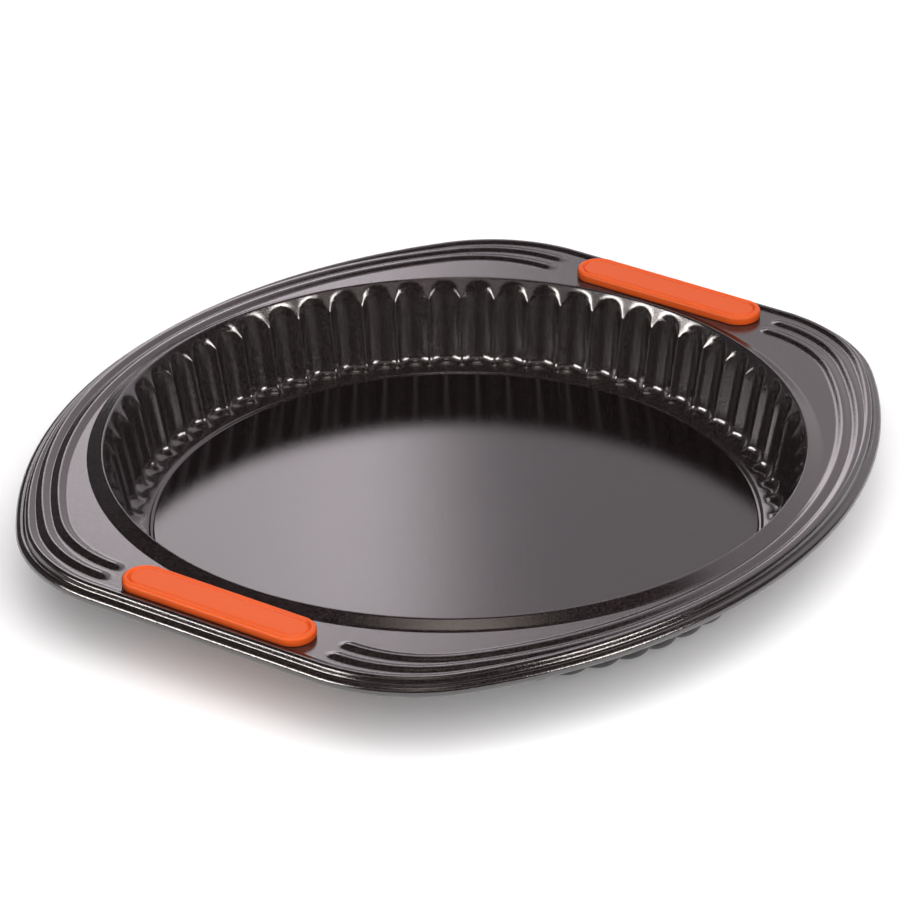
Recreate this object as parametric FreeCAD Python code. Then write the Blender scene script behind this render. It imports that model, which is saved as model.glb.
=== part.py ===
"""Fluted tart pan: pressed steel body, wire in the rolled rim, loose base, two silicone grips.

Millimetres, +Z up.  The origin is on the resting plane under the middle of the well, and X runs
through the two handle ears.  Heights are worked up from the resting plane: seat, loose base, well.
"""
import FreeCAD, Part
import math
import os

# --- Sheet metal -----------------------------------------------------------------------------
SHEET = 1.0                 # thickness of the pressed steel body
BASE_SHEET = 1.0            # thickness of the loose base

# --- Well, from the mouth inward --------------------------------------------------------------
MOUTH_R = 140.0             # radius of the mouth edge
MOUTH_ROUND = 0.5           # rounding of the mouth edge
BAND_LEAN = 33.0            # lean of the plain band below the mouth, in degrees from upright
BAND_DROP = 8.2             # from the mouth edge down to where the band meets the flutes' ridges
WALL_LEAN = 11.3            # lean of the ridges, in degrees from upright
WELL_DEPTH = 36.0           # from the loose base's top up to the mouth edge
FOOT_ROUND = 5.0            # rounding where the wall runs out into the ledge
LEDGE_WIDTH = 6.0           # from the ridges in to the step
STEP_RUN = 0.9              # radial run of the step from the ledge down to the seat
BASE_GAP = 1.2              # radial gap between the step and the loose base
SEAT_WIDTH = 11.0           # how far the seat reaches under the loose base
BASE_EDGE_ROUND = 0.3       # broken edge of the loose base

# --- Flutes: hollow channels pressed outward, with a narrow ridge between each two -------------
FLUTES = 60                 # flutes around the wall, one of them on the handle axis
FLUTE_DEPTH = 2.5           # from the ridges out to the middle of a flute, at the ridges' tops
FLUTE_R = 9.9               # radius of a flute's hollow at the same height
FLUTE_SINK = 0.05           # how far a flute's round foot would reach into the ledge

# --- Collar and flange -----------------------------------------------------------------------
FLANGE_DROP = 3.1           # from the mouth edge down to the flange's top face
COLLAR_RUN = 6.0            # radial width of the sloping collar around the mouth

# --- Grips -----------------------------------------------------------------------------------
GRIP_LENGTH = 87.0
GRIP_WIDTH = 18.0
GRIP_COLLAR_GAP = 0.4       # from the collar's foot to a grip
GRIP_SHIFT = 2.3            # how far each grip sits clockwise of the handle axis
GRIP_RISE = 3.8             # upper pad above the flange
GRIP_EDGE_R = 1.3           # rounding of the upper pad
GRIP_GROOVE_INSET = 2.2     # from the pad's edge to the groove around its top
GRIP_GROOVE_WIDTH = 0.7
GRIP_GROOVE_DEPTH = 0.45
GRIP_LOWER_INSET = 2.5      # how much the lower pad is smaller than the upper one, all round
GRIP_LOWER_DROP = 2.6       # lower pad below the flange
GRIP_LOWER_EDGE_R = 0.8
SLOT_INSET = 5.5            # from the upper pad's edge to the flange slot that the neck fills
NECK_GAP = 0.1              # gap between the neck and the slot

# --- Rim section, measured inward from the outer edge -----------------------------------------
LIP_R = 2.2                 # outer radius of the rolled lip
LIP_DROP = 6.8              # from the mouth edge down to the middle of the lip
LIP_END_ANGLE = -10.0       # where the rolled sheet ends, from the inward horizontal
WIRE_GAP = 0.05             # between the wire and the sheet rolled around it
OUTER_RIB_INSET = 5.2       # from the outer edge to the crest of the outer rib
OUTER_RIB_TURN_R = 1.5      # radius of the outer rib's shoulder towards the lip
OUTER_RIB_SLOPE = 60.0      # slope below that shoulder, in degrees

# --- Ribs pressed in the flange ----------------------------------------------------------------
RIB_HALF_WIDTH = 2.8
RIB_HEIGHT = 1.0

# --- Outlines: a straight end on each ear, round corners and long side arcs --------------------
EAR_GRIP_GAP = 0.2          # from a grip out to the foot of the outer rib
EAR_CORNER_START = 8.5      # from a grip's end to where the rim's corner starts
RIM_CORNER_R = 70.5         # radius of the rim's corners
RIM_SIDE_REACH = 19.8       # from the mouth to the rim at the middle of the long sides
INNER_RIB_EAR_REACH = 10.3  # from the mouth to the inner rib's crest beside a grip
INNER_RIB_SIDE_REACH = 8.0  # the same at the middle of the long sides
INNER_RIB_CORNER_R = 55.6
INNER_RIB_END_GAP = 8.7     # from a grip's end to the end of the inner rib's crest
MIDDLE_RIB_EAR_REACH = 18.7
MIDDLE_RIB_SIDE_REACH = 13.8
MIDDLE_RIB_CORNER_R = 57.0
MIDDLE_RIB_END_GAP = 9.0

# --- Levels and radii worked out from the sizes above --------------------------------------------
SEAT_Z = SHEET
BASE_TOP_Z = SEAT_Z + BASE_SHEET
MOUTH_Z = BASE_TOP_Z + WELL_DEPTH
FLANGE_Z = MOUTH_Z - FLANGE_DROP
FLANGE_UNDER_Z = FLANGE_Z - SHEET
LIP_Z = MOUTH_Z - LIP_DROP
RIDGE_TOP_Z = MOUTH_Z - BAND_DROP
RIDGE_TOP_R = MOUTH_R - BAND_DROP * math.tan(math.radians(BAND_LEAN))
FOOT_R = RIDGE_TOP_R - (RIDGE_TOP_Z - BASE_TOP_Z) * math.tan(math.radians(WALL_LEAN))
STEP_TOP_R = FOOT_R - LEDGE_WIDTH
STEP_FOOT_R = STEP_TOP_R - STEP_RUN
BASE_R = STEP_FOOT_R - BASE_GAP
COLLAR_SLOPE = math.atan2(FLANGE_DROP, COLLAR_RUN)
RIB_CROWN_R = (RIB_HALF_WIDTH ** 2 + RIB_HEIGHT ** 2) / (2 * RIB_HEIGHT)
GRIP_X = MOUTH_R + COLLAR_RUN + GRIP_COLLAR_GAP + GRIP_WIDTH / 2
GRIP_END_Y = GRIP_LENGTH / 2 + GRIP_SHIFT
RIM_END_X = GRIP_X + GRIP_WIDTH / 2 + EAR_GRIP_GAP + RIB_HALF_WIDTH + OUTER_RIB_INSET

UP = FreeCAD.Vector(0, 0, 1)
ABOVE = 5.0                 # how far cutters run past the faces they cut


def vec(x, y, z=0.0):
    return FreeCAD.Vector(x, y, z)


def line(a, b):
    return Part.LineSegment(a, b).toShape()


def arc(a, b, c):
    """Arc from a to c through b."""
    return Part.Arc(a, b, c).toShape()


def face_of(edges):
    return Part.Face(Part.Wire(edges))


def polygon_face(points):
    """Face from (radius, height) points in the XZ plane."""
    corners = [vec(r, 0, z) for r, z in points]
    return Part.Face(Part.makePolygon(corners + corners[:1]))


def turned(points):
    """Solid of revolution about Z from (radius, height) points."""
    return polygon_face(points).revolve(vec(0, 0), UP, 360)


# --- Closed lens outlines made of tangent arcs ---------------------------------------------------

class Lens:
    """Quarter outline: straight end at x = end_x up to end_y, corner arc, long side arc."""

    def __init__(self, end_x, end_y, corner_r, mid_y):
        self.end_x = end_x
        self.end_y = end_y
        self.corner_r = corner_r
        self.corner_x = end_x - corner_r
        rise = end_y - mid_y
        reach = corner_r ** 2 - self.corner_x ** 2 - rise ** 2
        self.side_r = reach / (2 * (rise + corner_r))
        self.side_y = mid_y - self.side_r
        self.turn = math.atan2(end_y - self.side_y, self.corner_x)

    def inset(self, distance):
        """The same outline moved inward by distance."""
        mid_y = self.side_y + self.side_r
        return Lens(self.end_x - distance, self.end_y, self.corner_r - distance, mid_y - distance)

    def half_arcs(self, side):
        """Arcs (centre, radius, from angle, to angle) from the +X ear to the -X ear."""
        turn = math.degrees(self.turn)
        centre_a = vec(self.corner_x, side * self.end_y)
        centre_b = vec(0, side * self.side_y)
        centre_c = vec(-self.corner_x, side * self.end_y)
        return [
            (centre_a, self.corner_r, 0.0, side * turn),
            (centre_b, self.side_r, side * turn, side * (180.0 - turn)),
            (centre_c, self.corner_r, side * (180.0 - turn), side * 180.0),
        ]

    def wire(self, z):
        """Closed wire of the outline at height z."""
        edges = []
        for side in (1, -1):
            for centre, radius, start, stop in self.half_arcs(side):
                edges.append(arc(*[
                    centre + vec(radius * math.cos(math.radians(a)), radius * math.sin(math.radians(a)), z)
                    for a in (start, (start + stop) / 2, stop)
                ]))
        for x in (self.end_x, -self.end_x):
            edges.append(line(vec(x, -self.end_y, z), vec(x, self.end_y, z)))
        return Part.Wire(Part.__sortEdges__(edges))


def swept_arc(section, centre, radius, start, stop):
    """Turn a section, drawn in the XZ plane with x measured outward from the path, along an arc."""
    piece = section.copy()
    piece.translate(vec(radius, 0))
    piece.rotate(vec(0, 0), UP, min(start, stop))
    piece.translate(centre)
    return piece.revolve(centre, UP, abs(stop - start))


def swept_end(section, lens, side):
    """Run a section straight along one ear of a lens outline."""
    piece = section.copy()
    piece.translate(vec(lens.end_x, 0))
    piece.translate(vec(0, -lens.end_y))
    solid = piece.extrude(vec(0, 2 * lens.end_y))
    if side < 0:
        solid.rotate(vec(0, 0), UP, 180)
    return solid


def swept_lens(section, lens):
    """Run a section all round a lens outline."""
    pieces = [swept_end(section, lens, side) for side in (1, -1)]
    for side in (1, -1):
        pieces += [swept_arc(section, *piece) for piece in lens.half_arcs(side)]
    return pieces[0].fuse(pieces[1:]).removeSplitter()


RIM = Lens(
    RIM_END_X,
    GRIP_END_Y + EAR_CORNER_START - GRIP_SHIFT,
    RIM_CORNER_R,
    MOUTH_R + RIM_SIDE_REACH,
)
OUTER_RIB = RIM.inset(OUTER_RIB_INSET)
INNER_RIB = Lens(
    MOUTH_R + INNER_RIB_EAR_REACH,
    GRIP_END_Y + INNER_RIB_END_GAP,
    INNER_RIB_CORNER_R,
    MOUTH_R + INNER_RIB_SIDE_REACH,
)
MIDDLE_RIB = Lens(
    MOUTH_R + MIDDLE_RIB_EAR_REACH,
    GRIP_END_Y + MIDDLE_RIB_END_GAP,
    MIDDLE_RIB_CORNER_R,
    MOUTH_R + MIDDLE_RIB_SIDE_REACH,
)


# --- Well wall and flutes --------------------------------------------------------------------------

def wall_radius(z, skin):
    """Radius of the ridges' cone at height z, grown outward by skin."""
    lean = math.radians(WALL_LEAN)
    return RIDGE_TOP_R + (z - RIDGE_TOP_Z) * math.tan(lean) + skin / math.cos(lean)


def band_radius(z, skin):
    """Radius of the plain band's cone at height z, grown outward by skin."""
    lean = math.radians(BAND_LEAN)
    return MOUTH_R + (z - MOUTH_Z) * math.tan(lean) + skin / math.cos(lean)


def cup(skin):
    """Filled cup without its flutes: the well's own space, or grown by skin the cup's outside."""
    top = MOUTH_Z - SHEET / 2 / math.cos(COLLAR_SLOPE) if skin else MOUTH_Z + ABOVE
    ledge = BASE_TOP_Z - skin
    closing = math.tan(math.radians(BAND_LEAN)) - math.tan(math.radians(WALL_LEAN))
    bend = RIDGE_TOP_Z - (band_radius(RIDGE_TOP_Z, skin) - wall_radius(RIDGE_TOP_Z, skin)) / closing
    body = turned([
        (0, SEAT_Z - skin),
        (STEP_FOOT_R + skin, SEAT_Z - skin),
        (STEP_TOP_R + skin, ledge),
        (wall_radius(ledge, skin), ledge),
        (wall_radius(bend, skin), bend),
        (band_radius(top, skin), top),
        (0, top),
    ])
    foot = max(edges_at(body, ledge), key=lambda edge: edge.BoundBox.XMax)
    return body.makeFillet(FOOT_ROUND + skin, [foot])


def flutes(skin):
    """All flutes as round-footed tapered pegs whose taper closes at one point on the pan's axis."""
    tip = vec(0, 0, RIDGE_TOP_Z - RIDGE_TOP_R / math.tan(math.radians(WALL_LEAN)))
    crown = vec(RIDGE_TOP_R + FLUTE_DEPTH, 0, RIDGE_TOP_Z)
    reach = (crown - tip).Length
    up = (crown - tip) / reach
    inward = vec(-up.z, 0, up.x)
    half_taper = math.asin(FLUTE_R / reach)
    lean = math.atan2(up.x, up.z) - half_taper
    axis = vec(math.sin(lean), 0, math.cos(lean))
    on_crown = crown + inward * FOOT_ROUND
    foot_hub = on_crown - up * ((on_crown.z - BASE_TOP_Z - FOOT_ROUND + FLUTE_SINK) / up.z)
    start = (foot_hub - tip).dot(axis) - FOOT_ROUND - skin
    stop = (MOUTH_Z - tip.z) / math.cos(lean)
    radii = [along * math.tan(half_taper) + skin / math.cos(half_taper) for along in (start, stop)]
    peg = Part.makeCone(radii[0], radii[1], stop - start, tip + axis * start, axis)
    foot = min(peg.Edges, key=lambda edge: edge.BoundBox.ZMax)
    peg = peg.makeFillet(FOOT_ROUND + skin, [foot])
    pegs = []
    for i in range(FLUTES):
        copy = peg.copy()
        copy.rotate(vec(0, 0), UP, 360.0 * i / FLUTES)
        pegs.append(copy)
    return pegs


def collar(offset):
    """Filled collar, from inside the flange up to the mouth, with its skin lowered by offset."""
    top_z = MOUTH_Z - offset / math.cos(COLLAR_SLOPE)
    foot_z = FLANGE_Z - offset
    foot_r = MOUTH_R + (top_z - foot_z) / math.tan(COLLAR_SLOPE)
    return turned([
        (0, foot_z - SHEET / 2),
        (foot_r, foot_z - SHEET / 2),
        (foot_r, foot_z),
        (MOUTH_R, top_z),
        (0, top_z),
    ])


# --- Rim section and ribs ----------------------------------------------------------------------------

def rim_section():
    """Sheet section from the outer rib's crest out to the rolled lip; x runs outward from the rim's edge."""
    slope = math.radians(OUTER_RIB_SLOPE)
    hub = vec(-LIP_R, 0, LIP_Z)
    inner_r = LIP_R - SHEET

    def shoulder(offset, angle):
        """Point on the shoulder arc, angle from the crest towards the lip."""
        radius = OUTER_RIB_TURN_R - offset
        centre_z = FLANGE_Z + RIB_HEIGHT - OUTER_RIB_TURN_R
        return vec(-OUTER_RIB_INSET + radius * math.sin(angle), 0, centre_z + radius * math.cos(angle))

    def on_lip(radius, angle):
        """Point on the lip, angle from the inward horizontal up and over towards the outside."""
        return hub + vec(-radius * math.cos(angle), 0, radius * math.sin(angle))

    def lip_start(radius):
        """Angle at which the slope below the shoulder runs onto the lip's circle of this radius."""
        from_hub = shoulder(LIP_R - radius, slope) - hub
        ahead = vec(math.cos(slope), 0, -math.sin(slope))
        along = from_hub.dot(ahead)
        across = (from_hub - ahead * along).Length
        met = from_hub - ahead * (along + math.sqrt(radius ** 2 - across ** 2))
        return math.atan2(met.z, -met.x)

    end = math.radians(LIP_END_ANGLE) + 2 * math.pi
    over = lip_start(LIP_R)
    under = lip_start(inner_r)
    return face_of([
        line(shoulder(SHEET, 0), shoulder(0, 0)),
        arc(shoulder(0, 0), shoulder(0, slope / 2), shoulder(0, slope)),
        line(shoulder(0, slope), on_lip(LIP_R, over)),
        arc(on_lip(LIP_R, over), on_lip(LIP_R, (over + end) / 2), on_lip(LIP_R, end)),
        line(on_lip(LIP_R, end), on_lip(inner_r, end)),
        arc(on_lip(inner_r, end), on_lip(inner_r, (under + end) / 2), on_lip(inner_r, under)),
        line(on_lip(inner_r, under), shoulder(SHEET, slope)),
        arc(shoulder(SHEET, slope), shoulder(SHEET, slope / 2), shoulder(SHEET, 0)),
    ])


def rib_sections(offset):
    """Whole and half section of a rib's skin, which starts half a sheet inside the flange."""
    radius = RIB_CROWN_R - offset
    centre_z = FLANGE_Z + RIB_HEIGHT - RIB_CROWN_R
    low_z = FLANGE_Z - offset - SHEET / 2
    foot = math.acos((low_z - centre_z) / radius)

    def on_crown(angle):
        return vec(radius * math.sin(angle), 0, centre_z + radius * math.cos(angle))

    middle = vec(0, 0, low_z)
    crest = on_crown(0)
    whole = face_of([line(on_crown(-foot), on_crown(foot)), arc(on_crown(foot), crest, on_crown(-foot))])
    half = face_of([
        line(middle, on_crown(foot)),
        arc(on_crown(foot), on_crown(foot / 2), crest),
        line(crest, middle),
    ])
    return whole, half


def rib(lens, side, offset):
    """One rib from ear to ear on one long side, with a rounded end beside each grip."""
    whole, half = rib_sections(offset)
    pieces = [swept_arc(whole, *piece) for piece in lens.half_arcs(side)]
    for x in (lens.end_x, -lens.end_x):
        end = half.revolve(vec(0, 0), UP, 360)
        end.translate(vec(x, side * lens.end_y))
        pieces.append(end)
    return pieces[0].fuse(pieces[1:])


def ribs(offset):
    """The three ribs up to the outer one's crest; the outer one runs all the way round."""
    inside = Part.Face(OUTER_RIB.wire(0)).extrude(vec(0, 0, MOUTH_Z))
    bands = [rib(lens, side, offset) for lens in (INNER_RIB, MIDDLE_RIB) for side in (1, -1)]
    bands.append(swept_lens(rib_sections(offset)[0], OUTER_RIB))
    return [band.common(inside) for band in bands]


# --- Grips ---------------------------------------------------------------------------------------------

def pad(inset, z, height):
    """Upright bar with round ends, along Y on the Z axis, smaller than a grip's outline by inset."""
    radius = GRIP_WIDTH / 2 - inset
    straight = (GRIP_LENGTH - GRIP_WIDTH) / 2
    return face_of([
        line(vec(radius, -straight, z), vec(radius, straight, z)),
        arc(vec(radius, straight, z), vec(0, straight + radius, z), vec(-radius, straight, z)),
        line(vec(-radius, straight, z), vec(-radius, -straight, z)),
        arc(vec(-radius, -straight, z), vec(0, -straight - radius, z), vec(radius, -straight, z)),
    ]).extrude(vec(0, 0, height))


def edges_at(shape, z):
    """Edges that lie flat at height z."""
    flat = 1e-6
    return [e for e in shape.Edges if abs(e.BoundBox.ZMin - z) < flat and abs(e.BoundBox.ZMax - z) < flat]


def mouth_edges(shape):
    """The circle where the well's wall meets the collar."""
    return [e for e in edges_at(shape, MOUTH_Z) if isinstance(e.Curve, Part.Circle)]


def on_ear(shape, side):
    """Move a shape built on the Z axis to one ear."""
    placed = shape.copy()
    placed.translate(vec(GRIP_X, -GRIP_SHIFT))
    if side < 0:
        placed.rotate(vec(0, 0), UP, 180)
    return placed


def grip():
    """One silicone grip: upper pad with a groove round its top, neck and lower pad."""
    top_z = FLANGE_Z + GRIP_RISE
    upper = pad(0, FLANGE_Z, GRIP_RISE)
    upper = upper.makeFillet(GRIP_EDGE_R, edges_at(upper, top_z))
    groove_z = top_z - GRIP_GROOVE_DEPTH
    groove = pad(GRIP_GROOVE_INSET, groove_z, ABOVE)
    island = pad(GRIP_GROOVE_INSET + GRIP_GROOVE_WIDTH, groove_z, ABOVE)
    upper = upper.cut(groove.cut(island))
    low_z = FLANGE_UNDER_Z - GRIP_LOWER_DROP
    lower = pad(GRIP_LOWER_INSET, low_z, GRIP_LOWER_DROP)
    lower = lower.makeFillet(GRIP_LOWER_EDGE_R, edges_at(lower, low_z))
    neck = pad(SLOT_INSET + NECK_GAP, FLANGE_UNDER_Z, SHEET)
    return upper.fuse([neck, lower]).removeSplitter()


# --- Pieces --------------------------------------------------------------------------------------------

def pan_shell():
    """Pressed body: fluted well with a seat for the loose base, collar, ribbed flange and rolled lip."""
    outer = cup(SHEET).fuse(flutes(SHEET))
    well = cup(0.0).fuse(flutes(0.0))
    plate = Part.Face(OUTER_RIB.wire(FLANGE_UNDER_Z)).extrude(vec(0, 0, SHEET))
    flange = plate.fuse([collar(0.0)] + ribs(0.0)).cut([collar(SHEET)] + ribs(SHEET))
    rim = swept_lens(rim_section(), RIM)
    body = outer.fuse([flange, rim]).cut(well)
    push_out = Part.makeCylinder(BASE_R - SEAT_WIDTH, MOUTH_Z, vec(0, 0, -ABOVE))
    slot = pad(SLOT_INSET, FLANGE_UNDER_Z - ABOVE, SHEET + 2 * ABOVE)
    slots = [on_ear(slot, side) for side in (1, -1)]
    body = body.cut([push_out] + slots).removeSplitter()
    return body.makeFillet(MOUTH_ROUND, mouth_edges(body))


def loose_base():
    """Flat disc that drops into the well and sits on the seat."""
    disc = Part.makeCylinder(BASE_R, BASE_SHEET, vec(0, 0, SEAT_Z))
    return disc.makeFillet(BASE_EDGE_ROUND, edges_at(disc, BASE_TOP_Z))


def rim_wire():
    """Steel wire that the lip is rolled around."""
    hub = vec(-LIP_R, 0, LIP_Z)
    section = Part.Face(Part.Wire(Part.makeCircle(LIP_R - SHEET - WIRE_GAP, hub, vec(0, 1, 0))))
    return swept_lens(section, RIM)


def export(shape, node):
    shape.exportStep("parts/%s.step" % node)
    print(node, len(shape.Solids), "solid", "valid" if shape.isValid() else "NOT VALID", round(shape.Volume, 1))


def main():
    os.makedirs("parts", exist_ok=True)
    export(pan_shell(), "pan_shell")
    export(rim_wire(), "rim_wire")
    export(loose_base(), "loose_base")
    moulding = grip()
    export(on_ear(moulding, 1), "grip_right")
    export(on_ear(moulding, -1), "grip_left")


main()
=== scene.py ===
"""Looks of the fluted tart pan: smooth pressed shell, loose base and silicone grips round the CAD frame."""
import bpy
import math
import numpy as np
from mathutils import Matrix, Vector


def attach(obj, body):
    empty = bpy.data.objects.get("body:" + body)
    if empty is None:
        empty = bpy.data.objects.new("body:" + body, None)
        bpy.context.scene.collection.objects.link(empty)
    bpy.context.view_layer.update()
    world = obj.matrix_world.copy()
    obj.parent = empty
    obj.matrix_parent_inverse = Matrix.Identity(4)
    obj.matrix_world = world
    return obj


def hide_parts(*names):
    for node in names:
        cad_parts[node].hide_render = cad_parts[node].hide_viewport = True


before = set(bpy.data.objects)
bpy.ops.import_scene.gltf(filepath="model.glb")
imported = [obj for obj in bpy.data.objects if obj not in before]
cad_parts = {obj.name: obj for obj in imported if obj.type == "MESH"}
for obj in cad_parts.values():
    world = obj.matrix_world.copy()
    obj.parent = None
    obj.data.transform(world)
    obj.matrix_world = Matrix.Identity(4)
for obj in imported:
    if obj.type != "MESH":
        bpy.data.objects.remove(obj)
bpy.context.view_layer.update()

MM = 0.001

# --- Sizes, in millimetres, as in the CAD model ---------------------------------------------------
SHEET = 1.0
HOLE_R = 110.0
STEP_FOOT_R = 122.2
STEP_TOP_R = 123.1
BASE_R = 121.0
SEAT_Z = 1.0
BASE_TOP_Z = 2.0
FOOT_ROUND = 5.0
WALL_LEAN = math.radians(11.3)
BAND_LEAN = math.radians(33.0)
RIDGE_TOP_R = 134.675
RIDGE_TOP_Z = 29.8
MOUTH_R = 140.0
MOUTH_Z = 38.0
MOUTH_ROUND = 0.5
COLLAR_FOOT_R = 146.0
FLANGE_Z = 34.9
FLUTES = 60
FLUTE_DEPTH = 2.5
FLUTE_R = 9.9
LIP_R = 2.2
LIP_Z = 31.2
LIP_START_ANGLE = 70.0
LIP_MEETS_SHOULDER_ANGLE = 64.0
LIP_END_ANGLE = 350.0
LIP_INNER_END_ANGLE = 24.0
OUTER_RIB_INSET = 5.2
SHOULDER_R = 1.5
SHOULDER_SLOPE = 60.0
RIB_HEIGHT = 1.0
RIB_REACH = 3.5
GRIP_X = 155.4
GRIP_SHIFT = 2.3
GRIP_LENGTH = 87.0
GRIP_WIDTH = 18.0
GRIP_RISE = 3.8
GRIP_LOWER_INSET = 2.5
GRIP_LOWER_DROP = 2.6
SLOT_INSET = 5.6

# --- Roundings and mesh detail of the visual model, in millimetres --------------------------------
COLUMNS_PER_FLUTE = 16
RIDGE_CROWDING = 0.07
RIDGE_SOFTNESS = 0.35
ARCH_SOFTNESS = 1.5
ARCH_FADE = 4.0
LEAST_HOLLOWNESS = 0.12
LEAST_FADE = 0.05
GRIP_EDGE_ROUND = 1.3
GRIP_LOWER_ROUND = 0.8
GRIP_MIDDLE_INSET = 8.99
GRIP_SEAM = 0.01
HOLE_EDGE = 0.2
STEP_RUN_IN = 0.3
STEP_RUN = 1.4
BASE_EDGE = 0.3
BASE_LIFT_OFF = 0.02
ARCH_DEPTH = 2.3
MOUTH_BLEND = 0.35
MOUTH_CREST_RISE = 0.36
COLLAR_SINK = 0.06
COLLAR_BLEND = 0.35

ARCH_FOOT_Z = RIDGE_TOP_Z - ARCH_DEPTH
FLUTE_TIP_Z = RIDGE_TOP_Z - RIDGE_TOP_R / math.tan(WALL_LEAN)
COLLAR_SLOPE = math.atan2(MOUTH_Z - FLANGE_Z, COLLAR_FOOT_R - MOUTH_R)


# --- Meshes ---------------------------------------------------------------------------------------

def new_object(name, vertices, faces):
    """Smooth-shaded mesh object from points in millimetres."""
    mesh = bpy.data.meshes.new(name)
    mesh.from_pydata((np.asarray(vertices) * MM).tolist(), [], faces)
    mesh.shade_smooth()
    obj = bpy.data.objects.new(name, mesh)
    bpy.context.scene.collection.objects.link(obj)
    return obj


def grid_faces(rows, columns, close_rows=True):
    """Outward quads of a grid whose columns close on themselves, and its rows too if asked."""
    faces = []
    for i in range(rows if close_rows else rows - 1):
        here = i * columns
        following = (i + 1) % rows * columns
        for j in range(columns):
            k = (j + 1) % columns
            faces.append((following + j, following + k, here + k, here + j))
    return faces


def capped_faces(rows, columns):
    """Outward faces of a solid whose rows run from the middle of its top to the middle underneath."""
    faces = grid_faces(rows, columns, close_rows=False)
    faces.append(tuple(range(columns)))
    faces.append(tuple(range(rows * columns - 1, (rows - 1) * columns - 1, -1)))
    return faces


def linspace_rows(start, stop, count):
    """Values evenly spaced from start to stop, without the first one."""
    return [start + (stop - start) * (i + 1) / count for i in range(count)]


# --- Lens outlines, as in the CAD model -----------------------------------------------------------

class Lens:
    """Closed outline of a straight ear end, a corner arc and a long side arc, in each quarter."""

    def __init__(self, end_x, end_y, corner_r, mid_y):
        self.end_x = end_x
        self.end_y = end_y
        self.corner_r = corner_r
        self.corner_x = end_x - corner_r
        self.mid_y = mid_y
        rise = end_y - mid_y
        self.side_r = (corner_r ** 2 - self.corner_x ** 2 - rise ** 2) / (2 * (rise + corner_r))
        self.side_y = mid_y - self.side_r
        self.turn = math.atan2(end_y - self.side_y, self.corner_x)

    def inset(self, distance):
        """The same outline moved inward by a distance."""
        return Lens(self.end_x - distance, self.end_y, self.corner_r - distance, self.mid_y - distance)

    def radius(self, angle):
        """Distance from the middle out to the outline at a polar angle."""
        u = np.abs(np.cos(angle))
        v = np.abs(np.sin(angle))
        straight = self.end_x / np.maximum(u, 1e-9)
        along = u * self.corner_x + v * self.end_y
        off = self.corner_x ** 2 + self.end_y ** 2 - self.corner_r ** 2
        corner = along + np.sqrt(np.maximum(along ** 2 - off, 0))
        reach = v * self.side_y
        side = reach + np.sqrt(reach ** 2 - self.side_y ** 2 + self.side_r ** 2)
        on_side = np.arctan2(v * side - self.side_y, u * side) >= self.turn
        return np.where(on_side, side, np.where(straight * v <= self.end_y, straight, corner))

    def parts(self, x, y):
        """Which part of the outline each point belongs to: side arc, corner arc or straight end."""
        x, y = np.abs(x), np.abs(y)
        on_side = np.arctan2(y - self.side_y, x) >= self.turn
        return x, y, on_side, ~on_side & (y > self.end_y)

    def distance(self, x, y):
        """Signed distance to the outline, positive outside it."""
        x, y, on_side, on_corner = self.parts(x, y)
        side = np.hypot(x, y - self.side_y) - self.side_r
        corner = np.hypot(x - self.corner_x, y - self.end_y) - self.corner_r
        return np.where(on_side, side, np.where(on_corner, corner, x - self.end_x))

    def ear_distance(self, x, y):
        """Distance to the outline without its straight ends, which are cut off at end_y."""
        ends = np.hypot(np.abs(x) - self.end_x, np.abs(y) - self.end_y)
        return np.where(np.abs(y) < self.end_y, ends, np.abs(self.distance(x, y)))

    def normal(self, x, y):
        """Outward unit normal for points on the outline."""
        ax, ay, on_side, on_corner = self.parts(x, y)
        nx = np.where(on_side, ax, np.where(on_corner, ax - self.corner_x, 1.0))
        ny = np.where(on_side, ay - self.side_y, np.where(on_corner, ay - self.end_y, 0.0))
        size = np.hypot(nx, ny)
        return np.sign(x) * nx / size, np.sign(y) * ny / size


RIM = Lens(end_x=172.59, end_y=52.0, corner_r=70.5, mid_y=159.73)
OUTER_RIB = RIM.inset(OUTER_RIB_INSET)
INNER_RIB = Lens(end_x=150.3, end_y=54.5, corner_r=55.6, mid_y=148.0)
MIDDLE_RIB = Lens(end_x=158.7, end_y=54.8, corner_r=57.0, mid_y=153.8)


# --- Shell ----------------------------------------------------------------------------------------

def soft_max(a, b, k):
    """The larger of two values, with the change from one to the other rounded over k."""
    return (a + b + np.sqrt((a - b) ** 2 + k * k)) / 2


def wall(angle, z, skin):
    """Radius of the fluted wall and the band above it, at height z, grown outward by skin."""
    pitch = 2 * math.pi / FLUTES
    turn = (angle + pitch / 2) % pitch - pitch / 2
    scale = (z - FLUTE_TIP_Z) / (RIDGE_TOP_Z - FLUTE_TIP_Z)
    hollow = FLUTE_R * scale + skin
    hub = (RIDGE_TOP_R + FLUTE_DEPTH - FLUTE_R) * scale
    inside = hollow * np.abs(hollow) - (hub * np.sin(turn)) ** 2
    flute = hub * np.cos(turn) + np.sqrt(np.maximum(inside, 0))
    ridge = RIDGE_TOP_R * scale + skin / math.cos(WALL_LEAN)
    band = MOUTH_R - (MOUTH_Z - z) * math.tan(BAND_LEAN) + skin / math.cos(BAND_LEAN)
    hollowness = np.clip((flute - ridge) / FLUTE_DEPTH, LEAST_HOLLOWNESS, 1)
    softness = ARCH_SOFTNESS * hollowness * min(max((MOUTH_Z - z) / ARCH_FADE, LEAST_FADE), 1)
    return soft_max(soft_max(flute, ridge, RIDGE_SOFTNESS), band, softness)


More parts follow.
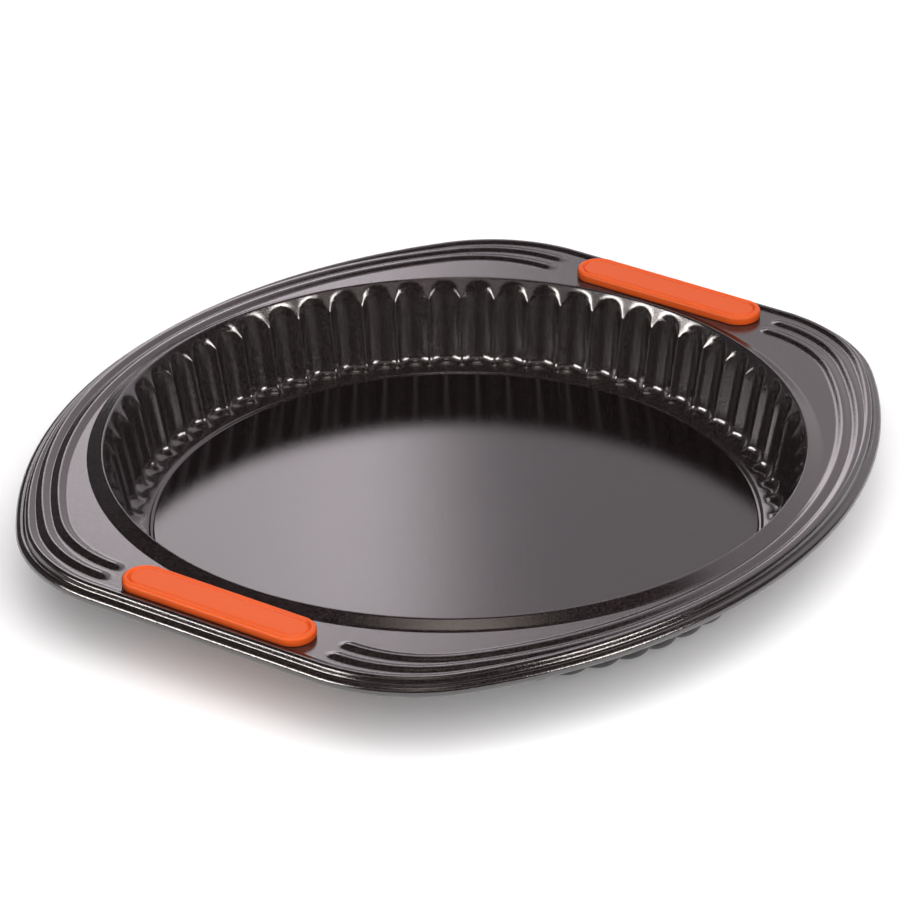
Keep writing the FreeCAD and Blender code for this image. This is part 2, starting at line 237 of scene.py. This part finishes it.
def flute_columns():
    """Polar angles of the shell's columns, closer together at the ridges between flutes."""
    pitch = 2 * math.pi / FLUTES
    steps = (np.arange(COLUMNS_PER_FLUTE) + 0.5) / COLUMNS_PER_FLUTE - 0.5
    eased = steps + RIDGE_CROWDING * np.sin(2 * math.pi * steps)
    return (np.arange(FLUTES)[:, None] * pitch + eased[None, :] * pitch).ravel()


def foot_row(angle, skin, turn):
    """One row of the rounding between ledge and wall, as rolled along the wall by a ball."""
    radius = FOOT_ROUND + skin
    shift = radius * math.cos(turn) - FOOT_ROUND / math.cos(WALL_LEAN)
    centre_z = BASE_TOP_Z + FOOT_ROUND
    return wall(angle, centre_z, shift), centre_z + radius * math.sin(turn) + 0 * angle


def well_inside(angle):
    """Rows (radius, height) at each column, from the push-out hole up to the foot of the collar."""
    one = np.ones_like(angle)
    rows = [(HOLE_R * one, (SEAT_Z - HOLE_EDGE) * one), ((HOLE_R + HOLE_EDGE) * one, SEAT_Z * one)]
    for x in (0.0, 0.25, 0.4, 0.6, 0.75, 1.0):
        ease = x * x * (3 - 2 * x)
        rows.append(((STEP_FOOT_R - STEP_RUN_IN + STEP_RUN * x) * one, (SEAT_Z + ease * SHEET) * one))
    for turn in [-math.pi / 2] + linspace_rows(-math.pi / 2, -WALL_LEAN, 10):
        rows.append(foot_row(angle, 0.0, turn))
    foot_top = rows[-1][1][0]
    mouth_low = MOUTH_Z - MOUTH_ROUND
    heights = linspace_rows(foot_top, ARCH_FOOT_Z, 7) + linspace_rows(ARCH_FOOT_Z, mouth_low, 26)
    rows += [(wall(angle, z, 0.0), z * one) for z in heights]
    last_r = float(np.mean(rows[-1][0]))
    for x in (0.2, 0.45, 0.75):
        r = last_r + (MOUTH_R + MOUTH_BLEND - last_r) * x
        rows.append((r * one, (mouth_low + MOUTH_CREST_RISE * (1 - (1 - x) ** 2)) * one))
    for r in linspace_rows(MOUTH_R + 0.1, COLLAR_FOOT_R - COLLAR_BLEND, 6):
        z = MOUTH_Z - COLLAR_SINK - (r - MOUTH_R) * math.tan(COLLAR_SLOPE)
        rows.append((r * one, z * one))
    rows.append(((COLLAR_FOOT_R - 0.12) * one, (FLANGE_Z + 0.085) * one))
    return rows


def well_outside(angle):
    """Rows (radius, height) at each column, from under the collar down to the hole's lower edge."""
    one = np.ones_like(angle)
    under = MOUTH_Z - SHEET / math.cos(COLLAR_SLOPE)
    half_collar = (COLLAR_FOOT_R - MOUTH_R) / 2
    rows = [((COLLAR_FOOT_R - COLLAR_BLEND) * one, (FLANGE_Z - SHEET + 0.12) * one)]
    rows.append(((MOUTH_R + half_collar) * one, (under - half_collar * math.tan(COLLAR_SLOPE)) * one))
    foot_top = foot_row(angle, SHEET, -WALL_LEAN)[1][0]
    heights = linspace_rows(MOUTH_Z - 1.6, ARCH_FOOT_Z, 14) + linspace_rows(ARCH_FOOT_Z, foot_top, 6)
    rows += [(wall(angle, z, SHEET), z * one) for z in heights]
    for turn in linspace_rows(-WALL_LEAN, -math.pi / 2, 8):
        rows.append(foot_row(angle, SHEET, turn))
    for r, z in (
        (STEP_TOP_R + SHEET + 0.3, SEAT_Z),
        (STEP_TOP_R + SHEET * 0.6, SEAT_Z - SHEET * 0.4),
        (STEP_FOOT_R + SHEET, 0.0),
        (HOLE_R + HOLE_EDGE, 0.0),
        (HOLE_R, HOLE_EDGE),
    ):
        rows.append((r * one, z * one))
    return rows


def flange_height(x, y):
    """Height of the flange's top face with its three ribs."""

    def bump(distance):
        d = np.minimum(np.abs(distance) / RIB_REACH, 1)
        return RIB_HEIGHT * (0.5 + 0.5 * np.cos(math.pi * d))

    inner = bump(INNER_RIB.ear_distance(x, y))
    middle = bump(MIDDLE_RIB.ear_distance(x, y))
    outer = bump(OUTER_RIB.distance(x, y))
    return FLANGE_Z + np.maximum(np.maximum(inner, middle), outer)


def lip_rows():
    """Sheet section from the outer rib's crest round the lip and back, from the rim's edge."""
    slope = math.radians(SHOULDER_SLOPE)
    centre_z = FLANGE_Z + RIB_HEIGHT - SHOULDER_R
    points = []

    def shoulder(radius, turn):
        return (-OUTER_RIB_INSET + radius * math.sin(turn), centre_z + radius * math.cos(turn))

    def lip(radius, turn):
        return (-LIP_R - radius * math.cos(turn), LIP_Z + radius * math.sin(turn))

    for turn in linspace_rows(0, slope, 6):
        points.append(shoulder(SHOULDER_R, turn))
    met = lip(LIP_R, math.radians(LIP_MEETS_SHOULDER_ANGLE))
    for u in (0.35, 0.7):
        points.append(tuple(a + (b - a) * u for a, b in zip(points[5], met)))
    points.append((met[0] + 0.02, met[1] + 0.16))
    points.append((met[0] + 0.2, met[1] + 0.06))
    end = math.radians(LIP_END_ANGLE)
    for turn in linspace_rows(math.radians(LIP_START_ANGLE), end, 26):
        points.append(lip(LIP_R, turn))
    inner = LIP_R - SHEET
    for turn in linspace_rows(end + 0.01, math.radians(LIP_INNER_END_ANGLE), 12):
        points.append(lip(inner, turn))
    for turn in (slope, slope / 2, 0.0):
        points.append(shoulder(SHOULDER_R - SHEET, turn))
    return points


def flange_section(angle):
    """Rows of points at each column: out over the flange, round the lip and back underneath."""
    inner_x, inner_y = COLLAR_FOOT_R * np.cos(angle), COLLAR_FOOT_R * np.sin(angle)
    crest = OUTER_RIB.radius(angle)
    crest_x, crest_y = crest * np.cos(angle), crest * np.sin(angle)
    nx, ny = OUTER_RIB.normal(crest_x, crest_y)
    rows = []

    def across(u, drop):
        x = inner_x + (crest_x - inner_x) * u
        y = inner_y + (crest_y - inner_y) * u
        rows.append((x, y, flange_height(x, y) - drop))

    for i in range(64):
        across(i / 63, 0.0)
    for offset, z in lip_rows():
        out = offset + OUTER_RIB_INSET
        rows.append((crest_x + nx * out, crest_y + ny * out, z + 0 * crest))
    for i in range(19, -1, -1):
        across(i / 20, SHEET)
    return rows


def make_shell():
    """The whole pressed body as one closed sheet: well, collar, flange, lip and back underneath."""
    angle = flute_columns()
    inside = [(r * np.cos(angle), r * np.sin(angle), z) for r, z in well_inside(angle)]
    outside = [(r * np.cos(angle), r * np.sin(angle), z) for r, z in well_outside(angle)]
    rows = inside + flange_section(angle) + outside
    block = np.array([np.column_stack(row) for row in rows])
    return new_object("shell", block.reshape(-1, 3), grid_faces(*block.shape[:2]))


# --- Loose base -----------------------------------------------------------------------------------

def make_base():
    """Thin disc with a softly broken edge."""
    top = BASE_TOP_Z
    low = BASE_TOP_Z - SHEET
    under = low + BASE_LIFT_OFF
    profile = [(60, top), (90, top), (110, top), (118, top), (BASE_R - BASE_EDGE - 0.1, top)]
    for turn in (90, 60, 30, 0):
        a = math.radians(turn)
        r = BASE_R - BASE_EDGE + BASE_EDGE * math.cos(a)
        profile.append((r, top - BASE_EDGE + BASE_EDGE * math.sin(a)))
    profile += [(BASE_R, low + 0.1), (BASE_R - 0.1, under), (BASE_R - 0.5, under), (60, under)]
    angle = np.linspace(0, 2 * math.pi, 360, endpoint=False)
    rows = [(r * np.cos(angle), r * np.sin(angle), z + 0 * angle) for r, z in profile]
    block = np.array([np.column_stack(row) for row in rows])
    return new_object("base_disc", block.reshape(-1, 3), capped_faces(*block.shape[:2]))


# --- Grips ----------------------------------------------------------------------------------------

def stadium(inset, count=48):
    """Points round a grip's outline moved in by inset: two half circles and two straight sides."""
    radius = max(GRIP_WIDTH / 2 - inset, 0.0)
    straight = (GRIP_LENGTH - GRIP_WIDTH) / 2
    points = []
    for side in (1, -1):
        for i in range(count // 2 + 1):
            a = math.pi * i / (count // 2)
            points.append((side * radius * math.cos(a), side * (straight + radius * math.sin(a))))
        for i in range(1, 12):
            points.append((-side * radius, side * straight * (1 - 2 * i / 12)))
    return np.array(points)


def grip_profile():
    """Rows (inset, height above the flange) from the middle of the top, over the edge and under."""
    rise = GRIP_RISE
    middle = GRIP_MIDDLE_INSET
    rows = [(middle, rise - 0.35), (6.0, rise - 0.35), (4.2, rise - 0.35), (3.4, rise - 0.36)]
    rows += [(3.22, rise - 0.46), (3.05, rise - 0.90), (2.80, rise - 1.15), (2.55, rise - 1.05)]
    rows += [(2.36, rise - 0.60), (2.2, rise - 0.16), (1.9, rise - 0.03), (1.45, rise)]
    for i in range(1, 8):
        a = math.pi / 2 * i / 7
        rows.append((
            GRIP_EDGE_ROUND - GRIP_EDGE_ROUND * math.sin(a),
            rise - GRIP_EDGE_ROUND + GRIP_EDGE_ROUND * math.cos(a),
        ))
    rows += [(0.0, 1.4), (0.0, 0.5), (0.15, 0.15), (0.45, 0.02), (3.0, GRIP_SEAM)]
    rows.append((SLOT_INSET, GRIP_SEAM))
    low = -SHEET
    rows.append((SLOT_INSET, low - GRIP_SEAM))
    rows += [(GRIP_LOWER_INSET + 0.3, low - GRIP_SEAM), (GRIP_LOWER_INSET, low - 0.3)]
    for i in range(5):
        a = math.pi / 2 * i / 4
        rows.append((
            GRIP_LOWER_INSET + GRIP_LOWER_ROUND - GRIP_LOWER_ROUND * math.cos(a),
            low - GRIP_LOWER_DROP + GRIP_LOWER_ROUND - GRIP_LOWER_ROUND * math.sin(a),
        ))
    rows += [(5.0, low - GRIP_LOWER_DROP), (middle, low - GRIP_LOWER_DROP)]
    return rows


def make_grip(name, side):
    """One silicone grip on the ear at side +1 or -1 of the handle axis."""
    blocks = []
    for inset, height in grip_profile():
        outline = stadium(inset)
        x = side * (outline[:, 0] + GRIP_X)
        y = side * (outline[:, 1] - GRIP_SHIFT)
        blocks.append(np.column_stack((x, y, np.full(len(x), FLANGE_Z + height))))
    block = np.array(blocks)
    return new_object(name, block.reshape(-1, 3), capped_faces(*block.shape[:2]))


# --- Materials ------------------------------------------------------------------------------------

NONSTICK_SHELL = {"colour": (0.008, 0.006, 0.006), "ior": 2.0, "roughness": 0.12, "grain": 0.75}
NONSTICK_BASE = {"colour": (0.003, 0.002, 0.002), "ior": 1.75, "roughness": 0.09, "grain": 0.35}
FLECK_SCALE = 2300.0
FLECK_FROM = 0.35
FLECK_GAIN = 4.5
SILICONE_COLOUR = (0.735, 0.098, 0.011)


class Nodes:
    """Material with a Principled shader, and short ways to add and link its nodes."""

    def __init__(self, name):
        self.material = bpy.data.materials.new(name)
        self.material.use_nodes = True
        self.tree = self.material.node_tree
        self.shader = self.tree.nodes["Principled BSDF"]

    def add(self, kind, **values):
        node = self.tree.nodes.new(kind)
        for key, value in values.items():
            if key in node.inputs:
                node.inputs[key].default_value = value
            else:
                setattr(node, key, value)
        return node

    def link(self, source, target):
        self.tree.links.new(source, target)


def nonstick(name, colour, ior, roughness, grain):
    """Black non-stick coating: glossy film over a fine grain, dense paler flecks, cloudy sheen."""
    n = Nodes(name)
    place = n.add("ShaderNodeTexCoord")
    flecks = n.add("ShaderNodeTexVoronoi", Scale=FLECK_SCALE)
    n.link(place.outputs["Object"], flecks.inputs["Vector"])
    pick = n.add("ShaderNodeSeparateColor")
    n.link(flecks.outputs["Color"], pick.inputs["Color"])
    amount = n.add("ShaderNodeMapRange")
    amount.inputs["From Min"].default_value = FLECK_FROM
    amount.inputs["From Max"].default_value = 1.0
    n.link(pick.outputs["Red"], amount.inputs["Value"])
    tint = n.add("ShaderNodeMix", data_type="RGBA")
    n.link(amount.outputs["Result"], tint.inputs["Factor"])
    tint.inputs["A"].default_value = (*colour, 1)
    tint.inputs["B"].default_value = (*[c * FLECK_GAIN for c in colour], 1)
    n.link(tint.outputs["Result"], n.shader.inputs["Base Color"])
    clouds = n.add("ShaderNodeTexNoise", Scale=28.0, Detail=3.0)
    n.link(place.outputs["Object"], clouds.inputs["Vector"])
    rough = n.add("ShaderNodeMapRange")
    rough.inputs["To Min"].default_value = roughness * 0.85
    rough.inputs["To Max"].default_value = roughness * 1.15
    n.link(clouds.outputs["Fac"], rough.inputs["Value"])
    n.link(rough.outputs["Result"], n.shader.inputs["Roughness"])
    n.shader.inputs["IOR"].default_value = ior
    fine = n.add("ShaderNodeTexNoise", Scale=2300.0, Detail=2.0)
    n.link(place.outputs["Object"], fine.inputs["Vector"])
    bump = n.add("ShaderNodeBump", Strength=grain, Distance=0.00006)
    n.link(fine.outputs["Fac"], bump.inputs["Height"])
    n.link(bump.outputs["Normal"], n.shader.inputs["Normal"])
    return n.material


def silicone(name):
    """Orange silicone rubber, half matt, with a fine grain."""
    n = Nodes(name)
    n.shader.inputs["Base Color"].default_value = (*SILICONE_COLOUR, 1)
    n.shader.inputs["Roughness"].default_value = 0.45
    n.shader.inputs["IOR"].default_value = 1.33
    place = n.add("ShaderNodeTexCoord")
    fine = n.add("ShaderNodeTexNoise", Scale=1800.0, Detail=2.0)
    n.link(place.outputs["Object"], fine.inputs["Vector"])
    bump = n.add("ShaderNodeBump", Strength=0.15, Distance=0.00005)
    n.link(fine.outputs["Fac"], bump.inputs["Height"])
    n.link(bump.outputs["Normal"], n.shader.inputs["Normal"])
    return n.material


# --- Camera, floor and light ----------------------------------------------------------------------

CAMERA_AZIMUTH = 304.5
CAMERA_ELEVATION = 28.7575
CAMERA_DISTANCE = 2.1426
CAMERA_LENS = 215.73
CAMERA_PAN = math.radians(0.0529)
CAMERA_TILT = math.radians(-0.1337)
CAMERA_ROLL = math.radians(-0.7527)
SENSOR_WIDTH = 36

FLOOR_LIFT = 0.12
FLOOR_GREY = 0.95
FLOOR_HALF_SIZE = 3000.0
FLOOR_DROP = 0.05
BACKDROP_TINT = (1.0, 0.91, 0.96)
FRONT_TINT = (1.0, 0.93, 0.90)
DARK = (0.012, 0.008, 0.009)
OVERHEAD = (1.8, 1.62, 1.48)
BACK_SKY = [
    (0.0, (0.10, 0.095, 0.10)),
    (0.50, (0.08, 0.075, 0.08)),
    (0.60, DARK),
    (0.98, DARK),
    (1.0, OVERHEAD),
]
FRONT_SKY = [
    (0.0, DARK),
    (0.50, DARK),
    (0.60, (0.87, 0.75, 0.75)),
    (0.72, DARK),
    (0.98, DARK),
    (1.0, OVERHEAD),
]
SKY_BLEND = 0.3


def aim(azimuth, elevation):
    """Unit vector from the pan out to this direction; azimuth 0 is in front, along -Y."""
    a, e = math.radians(azimuth), math.radians(elevation)
    return Vector((math.sin(a) * math.cos(e), -math.cos(a) * math.cos(e), math.sin(e)))


def make_camera():
    """Long lens aimed at the middle of the mouth, with a small turn that centres the pan."""
    target = Vector((0, 0, MOUTH_Z * MM))
    back = aim(CAMERA_AZIMUTH, CAMERA_ELEVATION)
    right = Vector((0, 0, 1)).cross(back).normalized()
    up = back.cross(right)
    axes = Matrix((right, up, back)).transposed()
    small = Matrix.Rotation(CAMERA_PAN, 3, "Y") @ Matrix.Rotation(CAMERA_TILT, 3, "X")
    small = small @ Matrix.Rotation(CAMERA_ROLL, 3, "Z")
    camera = bpy.data.objects.new("camera", bpy.data.cameras.new("camera"))
    place = Matrix.Translation(target + back * CAMERA_DISTANCE)
    camera.matrix_world = place @ (axes @ small).to_4x4()
    camera.data.lens = CAMERA_LENS
    camera.data.sensor_width = SENSOR_WIDTH
    camera.data.clip_end = 50
    bpy.context.scene.collection.objects.link(camera)
    bpy.context.scene.camera = camera


def area_lamp(name, azimuth, elevation, distance, width, height, power, colour=(1, 1, 1),
              glossy=True, diffuse=True):
    """Softbox of this width and height that faces the pan, at a direction seen from the pan."""
    lamp = bpy.data.lights.new(name, "AREA")
    lamp.shape = "RECTANGLE"
    lamp.size = width
    lamp.size_y = height
    lamp.energy = power
    lamp.color = colour
    obj = bpy.data.objects.new(name, lamp)
    back = aim(azimuth, elevation)
    obj.location = back * distance
    obj.rotation_mode = "QUATERNION"
    obj.rotation_quaternion = back.to_track_quat("Z", "Y")
    obj.visible_glossy = glossy
    obj.visible_diffuse = diffuse
    bpy.context.scene.collection.objects.link(obj)


def make_world():
    """White to the camera; in reflections a dim studio, pale overhead and in a band in front."""
    world = bpy.data.worlds.new("studio")
    bpy.context.scene.world = world
    world.use_nodes = True
    tree = world.node_tree
    background = tree.nodes["Background"]
    place = tree.nodes.new("ShaderNodeTexCoord")
    split = tree.nodes.new("ShaderNodeSeparateXYZ")
    tree.links.new(place.outputs["Generated"], split.inputs[0])

    def ramp(stops):
        node = tree.nodes.new("ShaderNodeValToRGB")
        elements = node.color_ramp.elements
        elements[0].position, elements[0].color = stops[0][0], (*stops[0][1], 1)
        elements[1].position, elements[1].color = stops[1][0], (*stops[1][1], 1)
        for position, colour in stops[2:]:
            elements.new(position).color = (*colour, 1)
        return node

    back = ramp(BACK_SKY)
    front = ramp(FRONT_SKY)
    for node in (back, front):
        tree.links.new(split.outputs["Z"], node.inputs["Fac"])
    facing = tree.nodes.new("ShaderNodeVectorMath")
    facing.operation = "DOT_PRODUCT"
    tree.links.new(place.outputs["Generated"], facing.inputs[0])
    facing.inputs[1].default_value = aim(CAMERA_AZIMUTH, 0)
    side = tree.nodes.new("ShaderNodeMapRange")
    side.interpolation_type = "SMOOTHSTEP"
    side.inputs["From Min"].default_value = -SKY_BLEND
    side.inputs["From Max"].default_value = SKY_BLEND
    tree.links.new(facing.outputs["Value"], side.inputs["Value"])
    sky = tree.nodes.new("ShaderNodeMix")
    sky.data_type = "RGBA"
    tree.links.new(side.outputs["Result"], sky.inputs["Factor"])
    tree.links.new(back.outputs["Color"], sky.inputs["A"])
    tree.links.new(front.outputs["Color"], sky.inputs["B"])
    path = tree.nodes.new("ShaderNodeLightPath")
    mix = tree.nodes.new("ShaderNodeMix")
    mix.data_type = "RGBA"
    tree.links.new(path.outputs["Is Camera Ray"], mix.inputs["Factor"])
    tree.links.new(sky.outputs["Result"], mix.inputs["A"])
    mix.inputs["B"].default_value = (1, 1, 1, 1)
    tree.links.new(mix.outputs["Result"], background.inputs["Color"])


def make_floor():
    """Wide pale floor, lifted a little where it is seen, that keeps the pan's shadow."""
    size = FLOOR_HALF_SIZE
    corners = [(-size, -size), (size, -size), (size, size), (-size, size)]
    floor = new_object("floor", [(x, y, -FLOOR_DROP) for x, y in corners], [(0, 1, 2, 3)])
    n = Nodes("floor")
    n.shader.inputs["Base Color"].default_value = (FLOOR_GREY, FLOOR_GREY, FLOOR_GREY, 1)
    n.shader.inputs["Roughness"].default_value = 0.9
    n.shader.inputs["Specular IOR Level"].default_value = 0.0
    n.shader.inputs["Emission Color"].default_value = (1, 1, 1, 1)
    path = n.add("ShaderNodeLightPath")
    lift = n.add("ShaderNodeMath", operation="MULTIPLY")
    lift.inputs[1].default_value = FLOOR_LIFT
    direct = n.add("ShaderNodeMath", operation="MAXIMUM")
    n.link(path.outputs["Is Camera Ray"], direct.inputs[0])
    n.link(path.outputs["Is Glossy Ray"], direct.inputs[1])
    shown = n.add("ShaderNodeMath", operation="MAXIMUM")
    n.link(direct.outputs["Value"], shown.inputs[0])
    n.link(path.outputs["Is Transmission Ray"], shown.inputs[1])
    n.link(shown.outputs["Value"], lift.inputs[0])
    n.link(lift.outputs["Value"], n.shader.inputs["Emission Strength"])
    floor.data.materials.append(n.material)


# --- Scene ----------------------------------------------------------------------------------------

shell = make_shell()
shell.data.materials.append(nonstick("nonstick_shell", **NONSTICK_SHELL))
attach(shell, "pan")
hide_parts("pan_shell")

disc = make_base()
disc.data.materials.append(nonstick("nonstick_base", **NONSTICK_BASE))
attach(disc, "base")
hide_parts("loose_base")

rubber = silicone("grip_silicone")
for node, side in (("grip_right", 1), ("grip_left", -1)):
    grip = make_grip(node.replace("grip", "soft_grip"), side)
    grip.data.materials.append(rubber)
    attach(grip, "pan")
    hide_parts(node)

make_camera()
make_world()
make_floor()
area_lamp("backdrop_left", CAMERA_AZIMUTH + 180 + 7, 18, 2.4, 0.48, 1.45, 5.2, BACKDROP_TINT)
area_lamp("backdrop_right", CAMERA_AZIMUTH + 180 - 31, 30, 2.4, 2.7, 2.5, 15.4, BACKDROP_TINT)
area_lamp("front_left", CAMERA_AZIMUTH - 64, 22, 2.2, 1.6, 0.50, 34, FRONT_TINT, diffuse=False)
area_lamp("front_right", CAMERA_AZIMUTH + 57, 22, 2.2, 0.85, 0.48, 17, FRONT_TINT, diffuse=False)
area_lamp("front_top", CAMERA_AZIMUTH, 58, 2.4, 0.50, 0.35, 1.2, FRONT_TINT)
area_lamp("key", CAMERA_AZIMUTH + 8, 53, 2.8, 3.4, 3.4, 125, glossy=False)

scene = bpy.context.scene
scene.view_settings.view_transform = "Standard"
